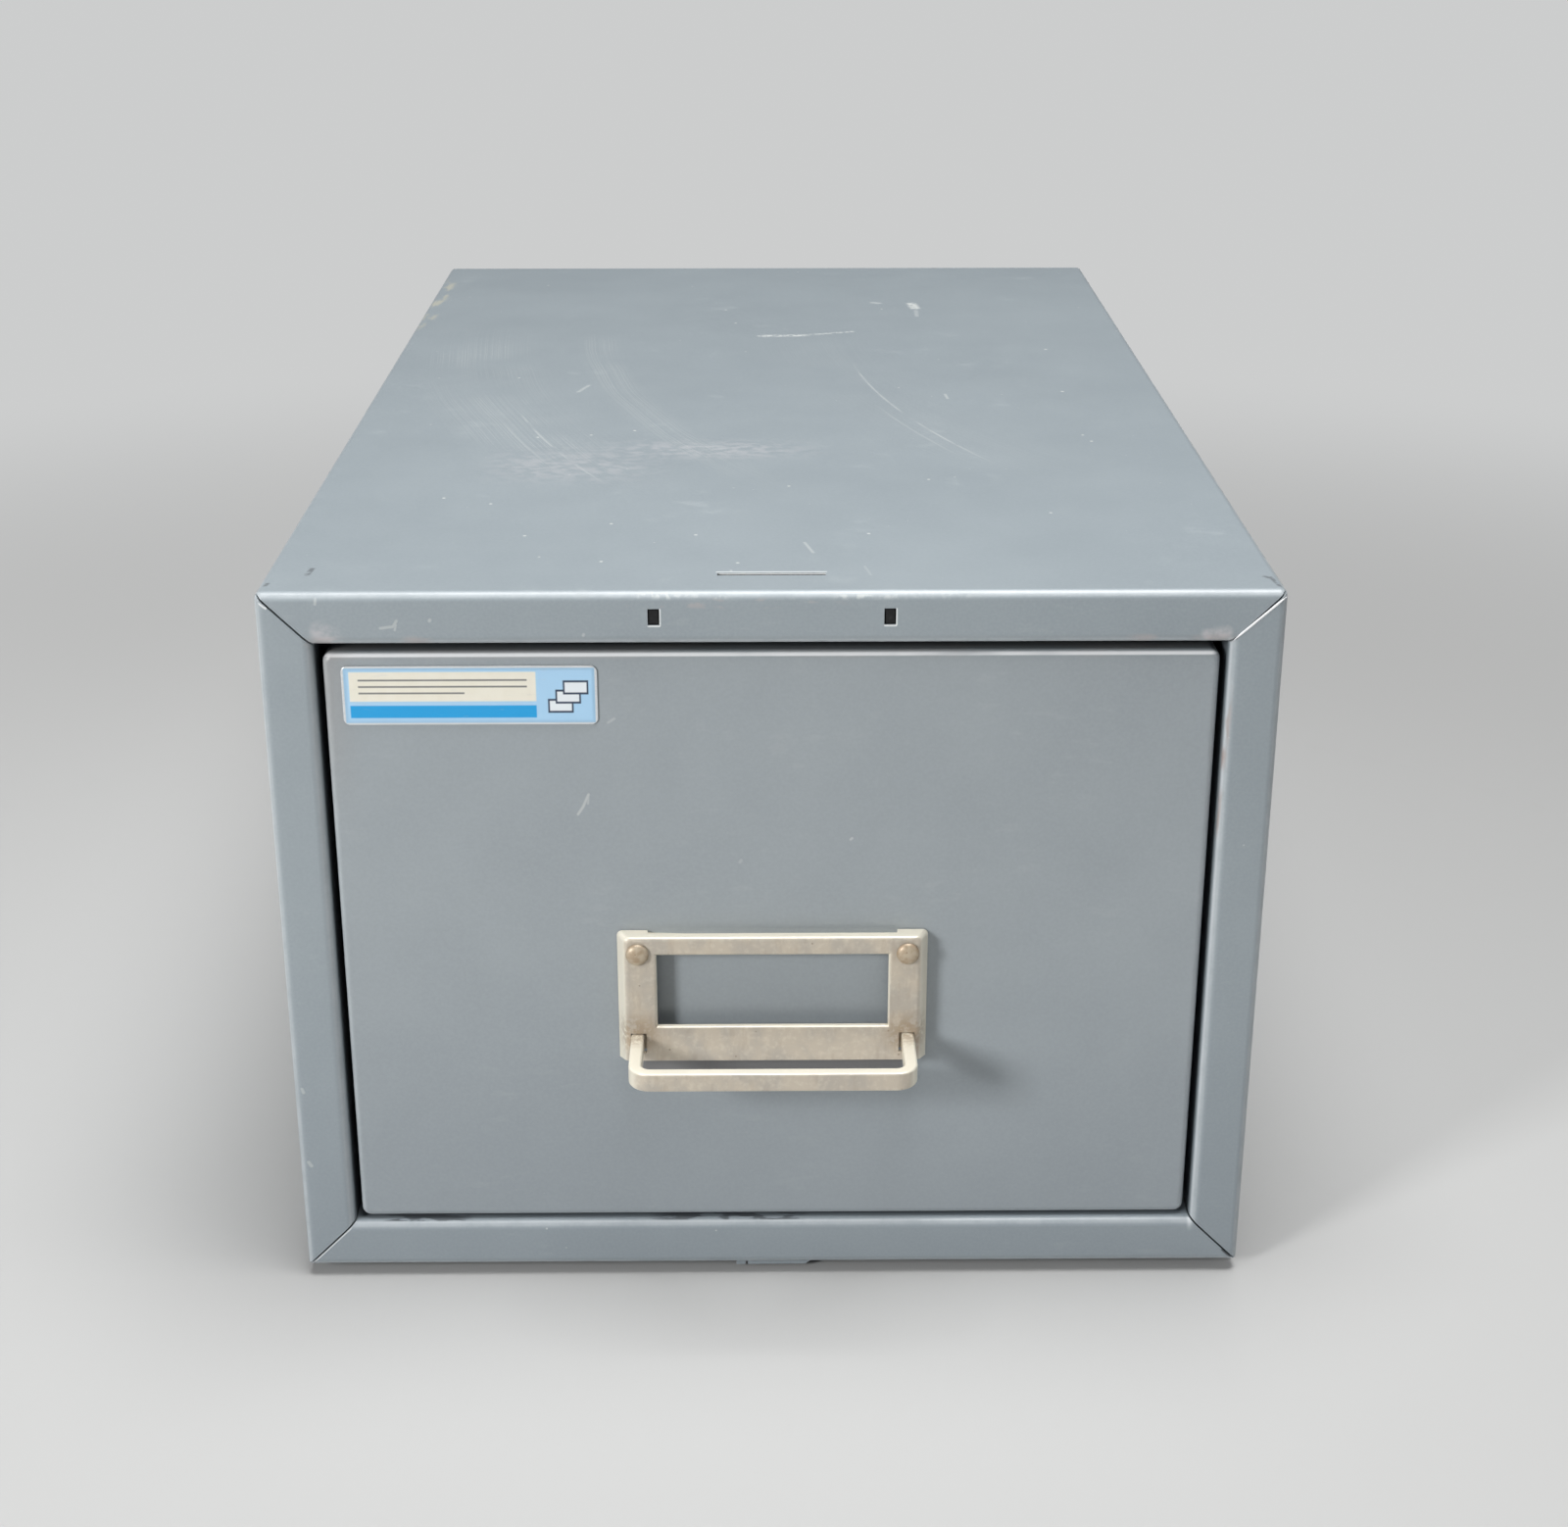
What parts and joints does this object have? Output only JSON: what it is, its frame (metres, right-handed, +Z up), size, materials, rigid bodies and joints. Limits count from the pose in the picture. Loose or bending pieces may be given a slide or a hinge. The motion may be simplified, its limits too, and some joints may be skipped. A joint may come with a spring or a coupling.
{
  "type": "index card drawer",
  "caption": "Steel card file cabinet with one inset drawer on runners, a plated label holder with a bail pull, and a sliding follower inside.",
  "frame": {"origin": "on the ground plane under the feet, at the middle of the whole object's width and depth", "axes": "+X to the object's right seen from the front, +Y from the drawer front to the case back, +Z up"},
  "size_m": [0.2444, 0.43, 0.1885],
  "materials": {
    "case_enamel": "satin blue-grey baked enamel, lightly worn",
    "drawer_enamel": "satin blue-grey baked enamel",
    "nickel_plate": "aged warm nickel plate, dull",
    "zinc_plate": "zinc plated steel",
    "white_nylon": "moulded natural nylon",
    "black_rubber": "matte black rubber",
    "foil_label": "printed foil with a clear coat"
  },
  "bodies": {
    "case": {"case_wrapper": "case_enamel", "case_bottom": "case_enamel", "case_back": "case_enamel", "stacking_clip": "zinc_plate", "runner_left": "zinc_plate", "runner_right": "zinc_plate", "foot_front_left": "black_rubber", "foot_rear_left": "black_rubber", "foot_front_right": "black_rubber", "foot_rear_right": "black_rubber", "glide_left": "white_nylon", "glide_right": "white_nylon"},
    "drawer": {"drawer_front": "drawer_enamel", "drawer_tray": "drawer_enamel", "drawer_back": "drawer_enamel", "rear_shoe_left": "white_nylon", "rear_shoe_right": "white_nylon", "shoe_rivet_left": "zinc_plate", "shoe_rivet_right": "zinc_plate", "label_holder": "nickel_plate", "pull": "nickel_plate", "holder_rivet_left": "nickel_plate", "holder_rivet_right": "nickel_plate", "front_label": "foil_label", "follower_rail_left": "zinc_plate", "follower_rail_right": "zinc_plate"},
    "follower": {"follower_carriage": "zinc_plate", "follower_plate": "drawer_enamel", "follower_rivet_front": "zinc_plate", "follower_rivet_rear": "zinc_plate", "lever_pin": "zinc_plate", "lever_spring": "zinc_plate"},
    "lever": {"brake_lever": "zinc_plate"}
  },
  "joints": [
    {"name": "drawer_slide", "type": "slide", "parent": "case", "child": "drawer", "axis": [0, -1, 0], "range_m": [0, 0.338]},
    {"name": "follower_slide", "type": "slide", "parent": "drawer", "child": "follower", "axis": [0, -1, 0], "range_m": [0, 0.302]},
    {"name": "lever_pivot", "type": "hinge", "parent": "follower", "child": "lever", "pos_m": [0, 0.17435, 0.0378], "axis": [1, 0, 0], "range_deg": [0, 12], "stiffness_Nm_per_rad": 0.08, "springref_deg": -17.19}
  ]
}
